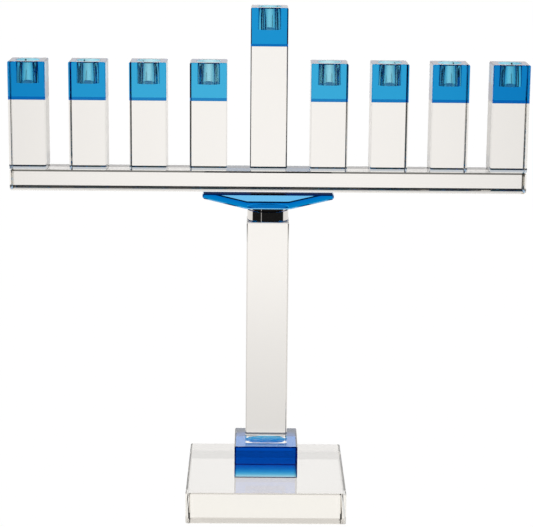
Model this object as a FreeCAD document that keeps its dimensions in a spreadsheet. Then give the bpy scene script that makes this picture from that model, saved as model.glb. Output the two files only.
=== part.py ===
import FreeCAD, Part

import os

import Sketcher

# Nine-light menorah built up from polished glass blocks on a square glass foot.
# Millimetres, +Z up. The origin is the centre of the underside of the foot, and the row of
# lights runs along X. Each block is bonded to its neighbour. The head screws on to the stem
# at a chromed coupling below the yoke.

ARM_SLOTS = (-4, -3, -2, -1, 1, 2, 3, 4)
TOLERANCE = 1e-6

DIMENSIONS = (
    # alias, value or formula, meaning
    ("base_side", "87.5", "side of the square foot slab"),
    ("base_height", "17.5", "thickness of the foot slab"),
    ("base_arris", "0.6", "45 degree arris on the foot slab"),
    ("plinth_side", "35", "side of the square blue plinth"),
    ("plinth_height", "18", "height of the plinth"),
    ("plinth_arris", "0.5", "arris on the plinth"),
    ("column_side", "23", "side of the square column"),
    ("column_height", "125.5", "height of the column"),
    ("block_arris", "0.5", "arris on the column, pillars and caps"),
    ("coupling_dia", "22.5", "outside diameter of both halves of the coupling"),
    ("coupling_arris", "0.3", "turned edge break on the coupling"),
    ("collar_height", "5.8", "height of the lower half of the coupling"),
    ("flange_height", "2", "height of the upper half of the coupling"),
    ("seam_gap", "0.2", "gap that the washer holds open between the halves"),
    ("stud_dia", "8", "crest diameter of the coupling stud"),
    ("stud_clearance", "0.05", "radial clearance of the stud in the collar"),
    ("stud_seat", "1.5", "depth of the stud's seat in the flange"),
    ("stud_reach", "5.6", "length of the stud below the flange"),
    ("stud_lead", "0.5", "lead-in chamfer at the stud's free end"),
    ("neck_dia", "7", "undercut that keeps the washer on the stud"),
    ("neck_height", "0.8", "height of the undercut below the flange"),
    ("washer_dia", "13.9", "outside diameter of the seating washer"),
    ("washer_height", "0.6", "thickness of the seating washer"),
    ("recess_dia", "14", "recess for the washer in the collar"),
    ("yoke_top", "71", "length of the yoke under the crossbar"),
    ("yoke_foot", "23", "length of the yoke's flat underside"),
    ("yoke_height", "8.5", "height of the yoke"),
    ("yoke_end", "2.8", "height of the yoke's upright end faces"),
    ("yoke_depth", "30", "front to back size of the yoke"),
    ("yoke_arris", "0.7", "arris on the yoke"),
    ("light_pitch", "32.5", "spacing of the lights along the crossbar"),
    ("pillar_side", "20", "side of the square pillars, caps and crossbar"),
    ("bar_height", "11.5", "height of the crossbar"),
    ("bar_arris", "0.8", "arris on the crossbar"),
    ("arm_height", "38", "clear height of the eight outer pillars"),
    ("shamash_height", "67.5", "clear height of the raised centre pillar"),
    ("cap_height", "20.5", "height of the blue capping blocks"),
    ("socket_dia", "12.5", "candle socket diameter"),
    ("socket_depth", "12", "candle socket depth"),
    ("socket_lip", "0.4", "bevel round the socket's mouth"),
    ("bar_length", "=8 * light_pitch + pillar_side", "overall length of the crossbar"),
    ("coupling_rad", "=coupling_dia / 2", "outside radius of the coupling"),
    ("rim_rad", "=coupling_rad - coupling_arris", "radius inside the coupling's edge break"),
    ("collar_rim", "=collar_height - coupling_arris", "start of the edge break on the collar"),
    ("flange_rim", "=flange_height - coupling_arris", "start of the edge break on the flange"),
    ("stud_rad", "=stud_dia / 2", "crest radius of the stud"),
    ("stud_tip_rad", "=stud_rad - stud_lead", "radius of the stud's end face"),
    ("bore_rad", "=stud_rad + stud_clearance", "radius of the collar's bore"),
    ("neck_rad", "=neck_dia / 2", "radius of the stud's undercut"),
    ("washer_bore_rad", "=neck_rad + stud_clearance", "bore radius of the washer"),
    ("washer_rad", "=washer_dia / 2", "outside radius of the washer"),
    ("recess_rad", "=recess_dia / 2", "radius of the washer's recess"),
    ("recess_floor", "=collar_height + seam_gap - washer_height", "recess floor above the collar's foot"),
    ("neck_level", "=stud_reach - neck_height", "start of the undercut above the stud's end"),
    ("stud_length", "=stud_reach + stud_seat", "overall length of the stud"),
    ("socket_rad", "=socket_dia / 2", "candle socket radius"),
    ("lip_rad", "=socket_rad + socket_lip", "radius of the socket's mouth"),
    ("lip_level", "=cap_height - socket_lip", "height of the bevel's lower edge in a cap"),
    ("socket_floor", "=cap_height - socket_depth", "height of the socket's floor in a cap"),
    ("collar_level", "=base_height + plinth_height + column_height", "height of the column's top"),
    ("column_level", "=base_height + plinth_height", "height of the plinth's top"),
    ("flange_level", "=collar_level + collar_height + seam_gap", "height of the flange's underside"),
    ("washer_level", "=flange_level - washer_height", "height of the washer's underside"),
    ("stud_level", "=flange_level - stud_reach", "height of the stud's free end"),
    ("yoke_level", "=flange_level + flange_height", "height of the yoke's underside"),
    ("bar_level", "=yoke_level + yoke_height", "height of the crossbar's underside"),
    ("pillar_level", "=bar_level + bar_height", "height of the crossbar's top"),
    ("arm_cap_level", "=pillar_level + arm_height", "height of the outer caps' underside"),
    ("shamash_cap_level", "=pillar_level + shamash_height", "height of the centre cap's underside"),
)

document = FreeCAD.newDocument("menorah")


def fill_sheet():
    """Write the driving dimensions into a spreadsheet, one alias to a row."""
    filled = document.addObject("Spreadsheet::Sheet", "Dimensions")
    for row, (alias, content, meaning) in enumerate(DIMENSIONS, start=1):
        filled.set(f"A{row}", meaning)
        filled.set(f"B{row}", content)
        filled.setAlias(f"B{row}", alias)
    document.recompute()
    return filled


sheet = fill_sheet()


def new_body(label, x=None, z=None):
    """Make an empty body and bind its position to the spreadsheet."""
    body = document.addObject("PartDesign::Body", label)
    body.Label = label
    if x:
        body.setExpression("Placement.Base.x", x)
    if z:
        body.setExpression("Placement.Base.z", f"<<Dimensions>>.{z}")
    return body


def new_sketch(body, name, plane):
    """Attach a sketch to one of the body's own origin planes."""
    sketch = body.newObject("Sketcher::SketchObject", f"{body.Name}_{name}")
    support = next(item for item in body.Origin.OriginFeatures if item.Role == plane)
    sketch.AttachmentSupport = [(support, "")]
    sketch.MapMode = "FlatFace"
    return sketch


def draw_loop(sketch, points):
    """Draw straight lines through the points and close them into a loop."""
    count = len(points)
    for index, (across, along) in enumerate(points):
        end = points[(index + 1) % count]
        line = Part.LineSegment(FreeCAD.Vector(across, along, 0), FreeCAD.Vector(*end, 0))
        sketch.addGeometry(line, False)
    for index in range(count):
        sketch.addConstraint(Sketcher.Constraint("Coincident", index, 2, (index + 1) % count, 1))


def drive(sketch, alias, kind, *ends):
    """Add a dimension and bind it to a spreadsheet alias."""
    value = float(sheet.get(alias))
    number = sketch.addConstraint(Sketcher.Constraint(kind, *ends, value))
    sketch.setExpression(f"Constraints[{number}]", f"<<Dimensions>>.{alias}")


def add_rectangle(sketch, width, depth):
    """Draw a rectangle centred on the sketch's origin."""
    x = float(sheet.get(width)) / 2
    y = float(sheet.get(depth)) / 2
    draw_loop(sketch, [(-x, -y), (x, -y), (x, y), (-x, y)])
    for index, kind in enumerate(("Horizontal", "Vertical", "Horizontal", "Vertical")):
        sketch.addConstraint(Sketcher.Constraint(kind, index))
    sketch.addConstraint(Sketcher.Constraint("Symmetric", 0, 1, 1, 2, -1, 1))
    drive(sketch, width, "DistanceX", 0, 1, 0, 2)
    drive(sketch, depth, "DistanceY", 1, 1, 1, 2)


def add_profile(sketch, corners):
    """Draw a turned profile from (radius, height) aliases; an empty alias means zero."""
    points = [tuple(float(sheet.get(alias)) if alias else 0.0 for alias in corner) for corner in corners]
    draw_loop(sketch, points)
    for index, (radius, height) in enumerate(corners):
        if radius:
            drive(sketch, radius, "DistanceX", -1, 1, index, 1)
        else:
            sketch.addConstraint(Sketcher.Constraint("PointOnObject", index, 1, -2))
        if height:
            drive(sketch, height, "DistanceY", -1, 1, index, 1)
        else:
            sketch.addConstraint(Sketcher.Constraint("PointOnObject", index, 1, -1))


def pad(body, sketch, height):
    """Pad a sketch upwards by a spreadsheet alias."""
    feature = body.newObject("PartDesign::Pad", f"{body.Name}_pad")
    feature.Profile = sketch
    feature.setExpression("Length", f"<<Dimensions>>.{height}")
    body.Tip = feature
    document.recompute()
    return feature


def break_edges(body, size, joined=None):
    """Put a 45 degree arris on every edge, except round a face that is ground flush with its neighbour."""
    solid = body.Tip
    box = solid.Shape.BoundBox
    flush = {"foot": box.ZMin, "top": box.ZMax}.get(joined)
    edges = [
        f"Edge{number}"
        for number, edge in enumerate(solid.Shape.Edges, start=1)
        if flush is None or any(abs(vertex.Point.z - flush) > TOLERANCE for vertex in edge.Vertexes)
    ]
    feature = body.newObject("PartDesign::Chamfer", f"{body.Name}_arris")
    feature.Base = (solid, edges)
    body.Tip = feature
    feature.setExpression("Size", f"<<Dimensions>>.{size}")
    document.recompute()
    return feature


def turn(body, kind, corners):
    """Revolve or groove a profile of (radius, height) aliases right round the Z axis."""
    sketch = new_sketch(body, "profile", "XZ_Plane")
    add_profile(sketch, corners)
    feature = body.newObject(f"PartDesign::{kind}", f"{body.Name}_{kind.lower()}")
    feature.Profile = sketch
    feature.ReferenceAxis = (sketch, ["V_Axis"])
    feature.Angle = 360
    body.Tip = feature
    document.recompute()
    return feature


def add_block(label, width, depth, height, arris, x=None, z=None, joined=None):
    """Build a rectangular glass block that stands on its own origin."""
    body = new_body(label, x, z)
    outline = new_sketch(body, "outline", "XY_Plane")
    add_rectangle(outline, width, depth)
    pad(body, outline, height)
    break_edges(body, arris, joined)
    return body


def add_cap(label, x, z):
    """Build a capping block with a candle socket bored in its top."""
    body = add_block(label, "pillar_side", "pillar_side", "cap_height", "block_arris", x, z, "foot")
    socket = (
        ("", "socket_floor"),
        ("socket_rad", "socket_floor"),
        ("socket_rad", "lip_level"),
        ("lip_rad", "cap_height"),
        ("", "cap_height"),
    )
    turn(body, "Groove", socket)
    return body


def add_turning(label, z, corners):
    """Build a turned piece from its profile."""
    body = new_body(label, z=z)
    turn(body, "Revolution", corners)
    return body


def add_yoke():
    """Build the blue yoke: a flat-footed wedge profile padded equally to front and back."""
    body = new_body("yoke_block", z="yoke_level")
    sketch = new_sketch(body, "outline", "XZ_Plane")
    top = float(sheet.yoke_top) / 2
    foot = float(sheet.yoke_foot) / 2
    height = float(sheet.yoke_height)
    shoulder = height - float(sheet.yoke_end)
    half_loop = [(foot, 0), (top, shoulder), (top, height)]
    draw_loop(sketch, half_loop + [(-x, y) for x, y in reversed(half_loop)])
    for right, left in ((0, 5), (1, 4), (2, 3)):
        sketch.addConstraint(Sketcher.Constraint("Symmetric", right, 1, left, 1, -2))
    sketch.addConstraint(Sketcher.Constraint("PointOnObject", 0, 1, -1))
    sketch.addConstraint(Sketcher.Constraint("Vertical", 1))
    drive(sketch, "yoke_end", "DistanceY", 1, 1, 1, 2)
    drive(sketch, "yoke_height", "DistanceY", -1, 1, 1, 2)
    drive(sketch, "yoke_top", "DistanceX", 2, 2, 2, 1)
    drive(sketch, "yoke_foot", "DistanceX", 5, 1, 5, 2)
    slab = pad(body, sketch, "yoke_depth")
    if "SideType" in slab.PropertiesList:
        slab.SideType = "Symmetric"
    else:
        slab.Midplane = True
    document.recompute()
    break_edges(body, "yoke_arris")
    return body


def add_stem():
    """Build the foot, the plinth, the column and the lower half of the coupling."""
    collar = (
        ("bore_rad", ""),
        ("rim_rad", ""),
        ("coupling_rad", "coupling_arris"),
        ("coupling_rad", "collar_rim"),
        ("rim_rad", "collar_height"),
        ("recess_rad", "collar_height"),
        ("recess_rad", "recess_floor"),
        ("bore_rad", "recess_floor"),
    )
    return [
        add_block("base_slab", "base_side", "base_side", "base_height", "base_arris"),
        add_block("plinth_block", "plinth_side", "plinth_side", "plinth_height", "plinth_arris",
                  z="base_height"),
        add_block("stem_column", "column_side", "column_side", "column_height", "block_arris",
                  z="column_level"),
        add_turning("lower_collar", "collar_level", collar),
    ]


def add_coupling():
    """Build the seating washer, the stud and the upper half of the coupling."""
    washer = (
        ("washer_bore_rad", ""),
        ("washer_rad", ""),
        ("washer_rad", "washer_height"),
        ("washer_bore_rad", "washer_height"),
    )
    stud = (
        ("", ""),
        ("stud_tip_rad", ""),
        ("stud_rad", "stud_lead"),
        ("stud_rad", "neck_level"),
        ("neck_rad", "neck_level"),
        ("neck_rad", "stud_reach"),
        ("stud_rad", "stud_reach"),
        ("stud_rad", "stud_length"),
        ("", "stud_length"),
    )
    flange = (
        ("stud_rad", ""),
        ("rim_rad", ""),
        ("coupling_rad", "coupling_arris"),
        ("coupling_rad", "flange_rim"),
        ("rim_rad", "flange_height"),
        ("", "flange_height"),
        ("", "stud_seat"),
        ("stud_rad", "stud_seat"),
    )
    return [
        add_turning("seating_washer", "washer_level", washer),
        add_turning("threaded_stud", "stud_level", stud),
        add_turning("upper_flange", "flange_level", flange),
    ]


def add_head():
    """Build the yoke, the crossbar, and the nine pillars with their caps."""
    bodies = [
        add_yoke(),
        add_block("crossbar", "bar_length", "pillar_side", "bar_height", "bar_arris", z="bar_level"),
    ]
    for number, slot in enumerate(ARM_SLOTS, start=1):
        x = f"{slot} * <<Dimensions>>.light_pitch"
        bodies.append(add_block(f"arm_pillar_{number}", "pillar_side", "pillar_side", "arm_height",
                                "block_arris", x, "pillar_level", "top"))
        bodies.append(add_cap(f"arm_cap_{number}", x, "arm_cap_level"))
    bodies.append(add_block("shamash_pillar", "pillar_side", "pillar_side", "shamash_height",
                            "block_arris", z="pillar_level", joined="top"))
    bodies.append(add_cap("shamash_cap", None, "shamash_cap_level"))
    return bodies


bodies = add_stem() + add_coupling() + add_head()
document.recompute()

for item in document.Objects:
    if "Invalid" in item.State or "Error" in item.State:
        raise RuntimeError(f"{item.Label} did not recompute")

os.makedirs("parts", exist_ok=True)
for body in bodies:
    shape = body.Shape
    if shape.isNull() or not shape.isValid() or len(shape.Solids) != 1:
        raise RuntimeError(f"{body.Label} is not one valid solid")
    shape.exportStep(f"parts/{body.Label}.step")
    box = shape.BoundBox
    print(f"{body.Label}: {shape.Volume:.1f} mm3, z {box.ZMin:.2f} to {box.ZMax:.2f}")
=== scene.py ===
import math

import bpy
from mathutils import Matrix

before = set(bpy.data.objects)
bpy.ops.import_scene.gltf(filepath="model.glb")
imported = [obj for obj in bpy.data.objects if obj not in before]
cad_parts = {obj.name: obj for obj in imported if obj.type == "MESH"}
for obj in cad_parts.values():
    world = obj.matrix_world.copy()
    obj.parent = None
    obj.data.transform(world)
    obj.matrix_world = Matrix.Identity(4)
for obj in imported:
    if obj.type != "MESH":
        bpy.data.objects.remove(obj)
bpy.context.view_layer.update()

MM = 0.001

# ---------------------------------------------------------------- sizes of the piece
BASE_TOP = 17.5 * MM
PLINTH_TOP = 35.5 * MM
PLINTH_HALF = 17.5 * MM
PLINTH_ARRIS = 0.5 * MM
COLUMN_HALF = 11.5 * MM
YOKE_FOOT = 169 * MM
YOKE_SLOPE = 5.7 / 24
YOKE_TOP = 177.5 * MM
YOKE_HALF_DEPTH = 15 * MM
YOKE_ARRIS = 0.7 * MM
FLANGE_RADIUS = 11.25 * MM
BAR_TOP = 189 * MM
BAR_HALF_DEPTH = 10 * MM
BAR_ARRIS = 0.8 * MM
THREAD_PITCH = 1.25 * MM

HAIR = 0.1 * MM            # how far from a face or an arris its film still reaches
CONTACT_GAP = 0.015 * MM   # air left between solids that touch

# ---------------------------------------------------------------- camera
LENS = 125.7636            # mm, on a 36 mm sensor
CAMERA_DISTANCE = 1003.7 * MM
CAMERA_HEIGHT = 358.7 * MM
CAMERA_SIDE = -0.5 * MM
CAMERA_PITCH = 12.52       # degrees
CAMERA_ROLL = 0.5
OBJECT_YAW = 0.4


def add_camera():
    """A long lens, a little above the lights, tilted down at the column."""
    data = bpy.data.cameras.new("camera")
    data.sensor_width = 36.0
    data.lens = LENS
    data.clip_start = 0.05
    data.clip_end = 50
    camera = bpy.data.objects.new("camera", data)
    bpy.context.scene.collection.objects.link(camera)
    place = Matrix.Translation((CAMERA_SIDE, -CAMERA_DISTANCE, CAMERA_HEIGHT))
    tilt = Matrix.Rotation(math.radians(90 - CAMERA_PITCH), 4, "X")
    roll = Matrix.Rotation(math.radians(CAMERA_ROLL), 4, "Z")
    yaw = Matrix.Rotation(math.radians(-OBJECT_YAW), 4, "Z")
    camera.matrix_world = yaw @ place @ tilt @ roll
    bpy.context.scene.camera = camera


# ---------------------------------------------------------------- node helpers
class Graph:
    """A node tree with short ways to add and join nodes."""

    def __init__(self, tree):
        self.tree = tree
        tree.nodes.clear()

    def add(self, kind, **settings):
        node = self.tree.nodes.new(kind)
        for key, value in settings.items():
            setattr(node, key, value)
        return node

    def feed(self, socket, value):
        """Join an output to a socket, or set the socket's own value."""
        if isinstance(value, bpy.types.NodeSocket):
            self.tree.links.new(value, socket)
        elif isinstance(value, tuple) and len(value) == 3 and socket.type == "RGBA":
            socket.default_value = (*value, 1)
        else:
            socket.default_value = value

    def math(self, operation, *values):
        node = self.add("ShaderNodeMath", operation=operation)
        for socket, value in zip(node.inputs, values):
            self.feed(socket, value)
        return node.outputs[0]

    def remap(self, value, from_min, from_max, to_min, to_max, smooth=False):
        kind = "SMOOTHSTEP" if smooth else "LINEAR"
        node = self.add("ShaderNodeMapRange", interpolation_type=kind)
        for name, given in (("Value", value), ("From Min", from_min), ("From Max", from_max),
                            ("To Min", to_min), ("To Max", to_max)):
            self.feed(node.inputs[name], given)
        return node.outputs["Result"]

    def step(self, value, start, end):
        """Rise smoothly from nought to one between two values."""
        return self.remap(value, start, end, 0.0, 1.0, smooth=True)

    def mix(self, factor, first, second):
        node = self.add("ShaderNodeMix", data_type="RGBA")
        self.feed(node.inputs[0], factor)
        self.feed(node.inputs[6], first)
        self.feed(node.inputs[7], second)
        return node.outputs[2]

    def mix_value(self, factor, first, second):
        node = self.add("ShaderNodeMix", data_type="FLOAT")
        self.feed(node.inputs[0], factor)
        self.feed(node.inputs[2], first)
        self.feed(node.inputs[3], second)
        return node.outputs[0]

    def noise(self, scale, detail=3.0, stretch=(1, 1, 1)):
        coords = self.add("ShaderNodeTexCoord")
        place = self.add("ShaderNodeMapping")
        place.inputs["Scale"].default_value = stretch
        node = self.add("ShaderNodeTexNoise")
        self.feed(node.inputs["Scale"], float(scale))
        self.feed(node.inputs["Detail"], float(detail))
        self.feed(place.inputs["Vector"], coords.outputs["Object"])
        self.feed(node.inputs["Vector"], place.outputs["Vector"])
        return node.outputs["Fac"]

    def split(self, vector):
        node = self.add("ShaderNodeSeparateXYZ")
        self.feed(node.inputs[0], vector)
        return node.outputs[0], node.outputs[1], node.outputs[2]

    def position(self):
        return self.split(self.add("ShaderNodeTexCoord").outputs["Object"])

    def squares(self, x, y):
        return self.math("ADD", self.math("MULTIPLY", x, x), self.math("MULTIPLY", y, y))


def new_material(name):
    material = bpy.data.materials.new(name)
    material.use_nodes = True
    graph = Graph(material.node_tree)
    output = graph.add("ShaderNodeOutputMaterial")
    shader = graph.add("ShaderNodeBsdfPrincipled")
    graph.feed(output.inputs["Surface"], shader.outputs["BSDF"])
    return material, graph, shader, output


# ---------------------------------------------------------------- where painted shade and cement lie
def plinth_top(graph):
    """One on top of the plinth, nought elsewhere."""
    return graph.math("GREATER_THAN", graph.position()[2], PLINTH_TOP - HAIR)


def plinth_edges(graph):
    """One on the plinth's arrises, which are painted with navy shade, nought elsewhere."""
    x, y, z = graph.position()
    wide = graph.math("ABSOLUTE", x)
    deep = graph.math("ABSOLUTE", y)
    rim = graph.math("MAXIMUM", wide, deep)
    reach = PLINTH_HALF - PLINTH_ARRIS - HAIR
    upright = graph.math("GREATER_THAN", graph.math("ADD", wide, deep), reach + PLINTH_HALF)
    low = graph.math("GREATER_THAN", graph.math("SUBTRACT", rim, z), reach - BASE_TOP)
    high = graph.math("GREATER_THAN", graph.math("ADD", rim, z), reach + PLINTH_TOP)
    return graph.math("MAXIMUM", upright, graph.math("MAXIMUM", low, high))


def bar_top_edges(graph):
    """One on the arrises along the crossbar's top, which are painted with dark shade, nought
    elsewhere.
    """
    _, y, z = graph.position()
    rim = graph.math("ADD", graph.math("ABSOLUTE", y), z)
    return graph.math("GREATER_THAN", rim, BAR_TOP + BAR_HALF_DEPTH - BAR_ARRIS - HAIR)


def yoke_rise(graph):
    """The height of each point above the yoke's flat foot and its two slopes."""
    x, _, z = graph.position()
    beyond = graph.math("SUBTRACT", graph.math("ABSOLUTE", x), COLUMN_HALF)
    out = graph.math("MAXIMUM", beyond, 0.0)
    slope = graph.math("ADD", graph.math("MULTIPLY", out, YOKE_SLOPE), YOKE_FOOT)
    return graph.math("SUBTRACT", z, slope)


def yoke_underside(graph):
    """One on the yoke's flat foot and its two slopes, which are painted with dark blue shade and let
    through, nought elsewhere.
    """
    return graph.math("LESS_THAN", yoke_rise(graph), HAIR)


def yoke_foot(graph):
    """One over the round flange on the yoke's flat foot, where the painted shade is a lighter blue,
    nought elsewhere.
    """
    x, y, z = graph.position()
    inside = graph.math("LESS_THAN", graph.squares(x, y), FLANGE_RADIUS ** 2)
    return graph.math("MULTIPLY", inside, graph.math("LESS_THAN", z, YOKE_FOOT + HAIR))


def yoke_back_edge(graph):
    """One on the arrises along the underside at the back of the yoke, painted with dark shade,
    nought elsewhere.
    """
    _, y, _ = graph.position()
    reach = graph.math("SUBTRACT", y, yoke_rise(graph))
    return graph.math("GREATER_THAN", reach, YOKE_HALF_DEPTH - YOKE_ARRIS - HAIR)


def yoke_ledge(graph):
    """One on the yoke's top beside the crossbar and on the arrises along it, painted near black: a
    painted reflection on the ledge and painted shade on the arrises, nought elsewhere.
    """
    _, y, z = graph.position()
    deep = graph.math("ABSOLUTE", y)
    limit = YOKE_TOP + YOKE_HALF_DEPTH - YOKE_ARRIS - HAIR
    arris = graph.math("GREATER_THAN", graph.math("ADD", deep, z), limit)
    top = graph.math("GREATER_THAN", z, YOKE_TOP - HAIR)
    ledge = graph.math("MULTIPLY", top, graph.math("GREATER_THAN", deep, BAR_HALF_DEPTH))
    return graph.math("MAXIMUM", arris, ledge)


def column_cement(graph):
    """One where the column's cement has run, nought round its rim and in its small bubbles."""
    x, y, _ = graph.position()
    out = graph.math("SQRT", graph.squares(x, y))
    ragged = graph.remap(graph.noise(260, 4), 0.3, 0.7, 10.4 * MM, 12.6 * MM)
    run = graph.math("LESS_THAN", out, ragged)
    sound = graph.math("LESS_THAN", graph.noise(1500, 1), 0.66)
    return graph.math("MULTIPLY", run, sound)


def bonded(graph, joints):
    """One on the cemented joints, each given by its level and half its width, or None."""
    x, y, z = graph.position()
    edge = graph.math("MAXIMUM", graph.math("ABSOLUTE", x), graph.math("ABSOLUTE", y))
    found = 0.0
    for level, half_width in joints:
        near = graph.math("COMPARE", z, level, HAIR / 2)
        if half_width:
            near = graph.math("MULTIPLY", near, graph.math("LESS_THAN", edge, half_width - HAIR))
        if level == PLINTH_TOP:
            near = graph.math("MULTIPLY", near, column_cement(graph))
        found = graph.math("MAXIMUM", found, near)
    return found


# ---------------------------------------------------------------- materials
GLASS_IOR = 1.52
NO_BEND = 1.0


def absorb(graph, output, passed, over=20 * MM):
    """Fill a solid with a tint, given what light is left after a depth of it."""
    volume = graph.add("ShaderNodeVolumeAbsorption")
    losses = [-math.log(part) / over for part in passed]
    density = max(losses) * 1.05
    volume.inputs["Density"].default_value = density
    volume.inputs["Color"].default_value = (*(1 - loss / density for loss in losses), 1)
    graph.feed(output.inputs["Volume"], volume.outputs["Volume"])


def glass(name, passed, joints=(), painted_shades=(), through=None, dusty=None):
    """Polished glass with cemented joints, painted shade laid into its colour, a face let through
    and a dusty face.
    """
    material, graph, shader, output = new_material(name)
    shader.inputs["Transmission Weight"].default_value = 1
    shader.inputs["IOR"].default_value = GLASS_IOR
    colour = graph.mix(graph.noise(30), (0.985, 0.985, 0.985), (1.0, 1.0, 1.0))
    # Each mask lays a painted colour into the glass: painted shade for the dark lines and faces seen
    # in it.
    for where, shade_colour in painted_shades:
        colour = graph.mix(where(graph), colour, shade_colour)
    graph.feed(shader.inputs["Base Color"], colour)
    rough = graph.remap(graph.noise(180, 6), 0.45, 0.8, 0.0, 0.01)
    if dusty:
        specks = graph.remap(graph.noise(1100, 2), 0.58, 0.64, 0.0, 0.3)
        rough = graph.mix_value(dusty(graph), rough, specks)
    graph.feed(shader.inputs["Roughness"], rough)
    if through:
        graph.feed(shader.inputs["IOR"], graph.mix_value(through(graph), GLASS_IOR, NO_BEND))
    if joints:
        graph.feed(shader.inputs["IOR"], graph.mix_value(bonded(graph, joints), GLASS_IOR, NO_BEND))
    absorb(graph, output, passed)
    return material


def bump(graph, shader, height, depth):
    node = graph.add("ShaderNodeBump")
    node.inputs["Strength"].default_value = 1.0
    node.inputs["Distance"].default_value = depth
    graph.feed(node.inputs["Height"], height)
    graph.feed(shader.inputs["Normal"], node.outputs["Normal"])


def chrome():
    """Turned and plated: a mirror with the faintest rings round it."""
    material, graph, shader, _ = new_material("chrome")
    shader.inputs["Metallic"].default_value = 1
    plating = graph.mix(graph.noise(60), (0.72, 0.71, 0.69), (0.80, 0.79, 0.78))
    graph.feed(shader.inputs["Base Color"], plating)
    rough = graph.remap(graph.noise(400, 5, (1, 1, 8)), 0.3, 0.7, 0.015, 0.04)
    graph.feed(shader.inputs["Roughness"], rough)
    bump(graph, shader, graph.noise(2600, 2, (0.01, 0.01, 1)), 0.0015 * MM)
    return material


def stud_steel():
    """Plain steel with a rolled thread, dull in the grooves."""
    material, graph, shader, _ = new_material("stud_steel")
    shader.inputs["Metallic"].default_value = 1
    x, y, z = graph.position()
    climb = graph.math("MULTIPLY", z, math.tau / THREAD_PITCH)
    turn = graph.math("ADD", climb, graph.math("ARCTAN2", y, x))
    crest = graph.remap(graph.math("SINE", turn), -1.0, 1.0, 0.0, 1.0)
    worn = graph.mix(graph.noise(500, 4), (0.50, 0.49, 0.47), (0.62, 0.61, 0.60))
    graph.feed(shader.inputs["Base Color"], graph.mix(crest, (0.16, 0.155, 0.15), worn))
    graph.feed(shader.inputs["Roughness"], graph.remap(crest, 0.0, 1.0, 0.45, 0.22))
    bump(graph, shader, crest, 0.35 * MM)
    return material


def washer_nylon():
    """Milky nylon, a little scuffed."""
    material, graph, shader, _ = new_material("washer_nylon")
    milk = graph.mix(graph.noise(700, 4), (0.70, 0.69, 0.64), (0.82, 0.81, 0.78))
    graph.feed(shader.inputs["Base Color"], milk)
    rough = graph.remap(graph.noise(1200, 4), 0.3, 0.7, 0.38, 0.6)
    graph.feed(shader.inputs["Roughness"], rough)
    bump(graph, shader, graph.noise(2500, 3), 0.01 * MM)
    return material


def dress(node, material):
    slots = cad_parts[node].data.materials
    for index in range(len(slots)):
        slots[index] = material


def ease_contacts(node):
    """Draw the faces in by a hair, so that solids that touch stay apart for the light."""
    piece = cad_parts[node]
    weld = piece.modifiers.new("weld", "WELD")
    weld.merge_threshold = 0.001 * MM
    draw_in = piece.modifiers.new("draw_in", "DISPLACE")
    draw_in.strength = -CONTACT_GAP
    draw_in.mid_level = 0.0


# ---------------------------------------------------------------- stage
WHITE_LIGHT = (1.0, 0.975, 0.945)
HAZE = (0.36, 0.52, 0.72)
FLAG_LEVEL = 0.03          # black flags, seen straight through the glass
FRONT_LEVEL = 0.09         # the dark room in front, mirrored inside the glass
BLACK_LEVEL = 0.006        # the same, mirrored off the outside
LENS_WHITE = (1.02, 1.02, 1.02)


class Rays:
    """What a ray has met before it reaches the stage."""

    def __init__(self, graph):
        self.graph = graph
        path = graph.add("ShaderNodeLightPath")
        self.seen = path.outputs["Is Camera Ray"]
        self.turned = graph.math("GREATER_THAN", path.outputs["Glossy Depth"], 0.5)
        outside = graph.math("LESS_THAN", path.outputs["Transmission Depth"], 0.5)
        self.sheen = graph.math("MULTIPLY", self.turned, outside)

    def choose(self, direct, mirrored, sheen, seen):
        """One colour straight through glass, others for reflections and for the lens."""
        colour = self.graph.mix(self.turned, direct, mirrored)
        colour = self.graph.mix(self.sheen, colour, sheen)
        return self.graph.mix(self.seen, colour, seen)


def tinted(graph, value):
    """A level of the stage's own white."""
    node = graph.add("ShaderNodeCombineColor")
    for socket, tint in zip(node.inputs, WHITE_LIGHT):
        graph.feed(socket, graph.math("MULTIPLY", value, tint))
    return node.outputs[0]


def plain(value):
    return (value, value, value)


def flag_sector(graph, x, y):
    """Black flags behind the piece, to both sides of the white field."""
    bearing = graph.math("ABSOLUTE", graph.math("ARCTAN2", x, y))
    inner = graph.remap(bearing, math.radians(23), math.radians(24), 0.0, 1.0)
    outer = graph.remap(bearing, math.radians(27.3), math.radians(27.8), 1.0, 0.0)
    return graph.math("MULTIPLY", inner, outer)


def centre_fall(graph, aside):
    """The white field is brightest in the middle."""
    fall = graph.math("MULTIPLY", graph.math("MULTIPLY", aside, aside), 6.0)
    return graph.math("MAXIMUM", graph.math("SUBTRACT", 1.0, fall), 0.86)


def floor_through_glass(graph, x, y, reach):
    """The floor straight through glass: it brightens to the back, with a pool behind the plinth."""
    aside = graph.math("DIVIDE", x, graph.math("MAXIMUM", graph.math("ADD", y, 1.0), 0.3))
    field = graph.remap(y, 0.0, 0.7, 0.79, 1.03, smooth=True)
    level = graph.math("MULTIPLY", field, centre_fall(graph, aside))
    wide = graph.math("ABSOLUTE", x)
    behind = graph.remap(wide, PLINTH_HALF - 0.7 * MM, PLINTH_HALF + 0.3 * MM, 1.0, 0.0)
    beside = graph.remap(y, 0.05, 0.11, 0.85, 1.0, smooth=True)
    pool = graph.remap(y, 0.11, 0.14, 1.25, 1.0, smooth=True)
    level = graph.math("MULTIPLY", level, graph.mix_value(behind, beside, pool))
    flags = graph.math("MULTIPLY", flag_sector(graph, x, y), graph.remap(reach, 0.7, 0.8, 0.0, 1.0))
    return graph.mix_value(flags, level, FLAG_LEVEL)


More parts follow.
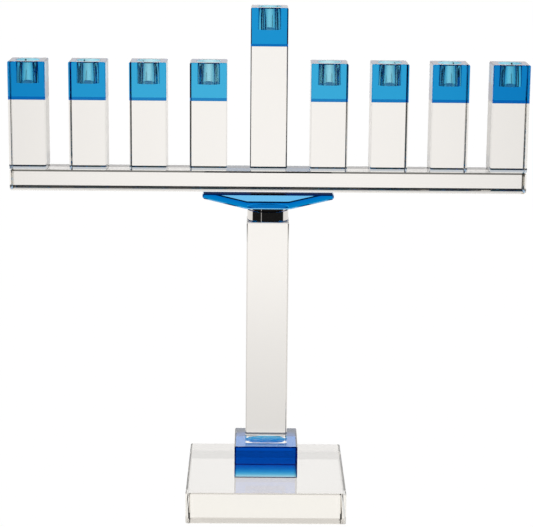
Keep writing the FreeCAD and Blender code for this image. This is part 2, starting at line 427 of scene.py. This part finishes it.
def floor_in_glass(graph, y, reach):
    """The floor mirrored inside glass: dim under the piece, light behind it and dark in front."""
    far = graph.step(reach, 0.25, 0.4)
    share = graph.math("DIVIDE", y, graph.math("MAXIMUM", reach, 0.01))
    front = graph.remap(share, -0.02, 0.03, 1.0, 0.0)
    under = graph.remap(y, -5 * MM, 5 * MM, 0.12, 0.78, smooth=True)
    return graph.mix_value(far, under, graph.mix_value(front, 0.9, FRONT_LEVEL))


def floor_off_outside(graph, x, y):
    """The floor mirrored off the outside: dark in front but for one strip light."""
    back = graph.remap(y, 0.05, 0.13, BLACK_LEVEL, 0.95, smooth=True)
    bearing = graph.math("ARCTAN2", x, y)
    strip = graph.math("COMPARE", bearing, math.radians(-143), math.radians(1.6))
    return graph.math("MAXIMUM", back, graph.math("MULTIPLY", strip, 0.55))


def add_floor():
    size = 8.0
    mesh = bpy.data.meshes.new("floor")
    corners = [(-size, -size, 0), (size, -size, 0), (size, size, 0), (-size, size, 0)]
    mesh.from_pydata(corners, [], [(0, 1, 2, 3)])
    floor = bpy.data.objects.new("floor", mesh)
    bpy.context.scene.collection.objects.link(floor)
    floor.location.z = -0.05 * MM
    material, graph, shader, _ = new_material("floor")
    x, y, _ = graph.position()
    reach = graph.math("SQRT", graph.squares(x, y))
    glow = Rays(graph).choose(tinted(graph, floor_through_glass(graph, x, y, reach)),
                              tinted(graph, floor_in_glass(graph, y, reach)),
                              tinted(graph, floor_off_outside(graph, x, y)),
                              plain(1.0))
    graph.feed(shader.inputs["Base Color"], graph.mix(graph.noise(3), plain(0.02), plain(0.025)))
    graph.feed(shader.inputs["Emission Color"], glow)
    shader.inputs["Emission Strength"].default_value = 1
    shader.inputs["Roughness"].default_value = 0.9
    shader.inputs["Specular IOR Level"].default_value = 0.0
    mesh.materials.append(material)


def world_through_glass(graph, x, y, z):
    """The white field straight through glass, with its flags and a dark ceiling."""
    level = graph.math("MULTIPLY", 1.03, centre_fall(graph, x))
    ceiling = graph.remap(z, 0.36, 0.42, 0.0, 1.0)
    dark = graph.math("MAXIMUM", flag_sector(graph, x, y), ceiling)
    return graph.mix_value(dark, level, FLAG_LEVEL)


def world_in_glass(graph, front, z):
    """The field mirrored inside glass: white, haze, grey, white and dark, from the floor up."""
    low = graph.mix(graph.step(z, 0.03, 0.11), (0.93, 0.93, 0.92), HAZE)
    middle = graph.mix(graph.step(z, 0.15, 0.175), low, (0.70, 0.69, 0.67))
    high = graph.mix(graph.step(z, 0.22, 0.30), middle, (1.07, 1.06, 1.04))
    rise = graph.mix(graph.step(z, 0.40, 0.48), high, plain(0.08))
    return graph.mix(front, rise, plain(FRONT_LEVEL))


def world_off_outside(graph, front, z):
    """The field mirrored off the outside: a lamp above the white, dim over it."""
    lamp = graph.mix(graph.step(z, 0.22, 0.30), (1.0, 0.98, 0.97), plain(1.6))
    bright = graph.mix(graph.step(z, 0.42, 0.5), lamp, plain(0.3))
    return graph.mix(front, bright, plain(BLACK_LEVEL))


def add_world():
    world = bpy.data.worlds.new("studio")
    world.use_nodes = True
    graph = Graph(world.node_tree)
    output = graph.add("ShaderNodeOutputWorld")
    background = graph.add("ShaderNodeBackground")
    x, y, z = graph.split(graph.add("ShaderNodeTexCoord").outputs["Generated"])
    front = graph.remap(y, -0.02, 0.03, 1.0, 0.0)
    light = Rays(graph).choose(tinted(graph, world_through_glass(graph, x, y, z)),
                               world_in_glass(graph, front, z),
                               world_off_outside(graph, front, z),
                               LENS_WHITE)
    graph.feed(background.inputs["Color"], light)
    graph.feed(output.inputs["Surface"], background.outputs["Background"])
    bpy.context.scene.world = world


# ---------------------------------------------------------------- dressing
CLEAR_PASSED = (0.97, 0.965, 0.955)
THICK_CLEAR_PASSED = (0.985, 0.98, 0.97)
PLINTH_PASSED = (0.012, 0.23, 0.66)
YOKE_PASSED = (0.30, 0.68, 0.97)
CAP_PASSED = (0.016, 0.335, 0.72)
# Painted shade: navy laid on the plinth's arrises for the dark lines that refraction gives along its
# edges.
NAVY_EDGE_SHADE = (0.0, 0.03, 0.12)

# Painted shade: every cap is the same blue glass, the blue of CAP_PASSED raised to the power given
# here, so that the caps deepen towards both ends of the row.
CAP_SHADE_DEPTHS = {
    "arm_cap_1": 1.16,
    "arm_cap_2": 0.95,
    "arm_cap_3": 0.75,
    "arm_cap_4": 0.69,
    "arm_cap_5": 0.75,
    "arm_cap_6": 0.85,
    "arm_cap_7": 1.04,
    "arm_cap_8": 1.27,
    "shamash_cap": 1.06,
}

# Painted shade in the yoke's colour: the underside dark blue for the dark band seen through it, a
# lighter blue over the flange, and near black on the ledge and the back arrises for dark reflections
# and lines.
YOKE_PAINTED_SHADES = (
    (yoke_underside, (0.0, 0.075, 0.36)),
    (yoke_foot, (0.01, 0.48, 0.92)),
    (yoke_ledge, (0.0, 0.004, 0.03)),
    (yoke_back_edge, (0.0, 0.01, 0.05)),
)

CLEAR = glass("clear_glass", CLEAR_PASSED)
CHROME = chrome()

SOLID_GLASS = {
    "base_slab": glass("base_glass", THICK_CLEAR_PASSED, joints=((BASE_TOP, PLINTH_HALF),)),
    "plinth_block": glass("plinth_glass", PLINTH_PASSED,
                          joints=((BASE_TOP, None), (PLINTH_TOP, COLUMN_HALF)),
                          painted_shades=((plinth_edges, NAVY_EDGE_SHADE),), dusty=plinth_top),
    "stem_column": glass("column_glass", THICK_CLEAR_PASSED, joints=((PLINTH_TOP, None),)),
    "yoke_block": glass("yoke_glass", YOKE_PASSED, painted_shades=YOKE_PAINTED_SHADES, through=yoke_underside),
    # Painted shade: the crossbar's top arrises are laid near black for the dark lines along its top
    # edges.
    "crossbar": glass("crossbar_glass", CLEAR_PASSED, painted_shades=((bar_top_edges, (0.07, 0.07, 0.065)),)),
}
for cap, depth in CAP_SHADE_DEPTHS.items():
    SOLID_GLASS[cap] = glass(cap + "_glass", tuple(part ** depth for part in CAP_PASSED))

COUPLING = {
    "lower_collar": CHROME,
    "upper_flange": CHROME,
    "threaded_stud": stud_steel(),
    "seating_washer": washer_nylon(),
}

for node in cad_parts:
    if node in COUPLING:
        dress(node, COUPLING[node])
    else:
        dress(node, SOLID_GLASS.get(node, CLEAR))
        ease_contacts(node)

add_camera()
add_floor()
add_world()

scene = bpy.context.scene
scene.view_settings.view_transform = "Standard"
scene.cycles.max_bounces = 32
scene.cycles.transmission_bounces = 32
scene.cycles.glossy_bounces = 16
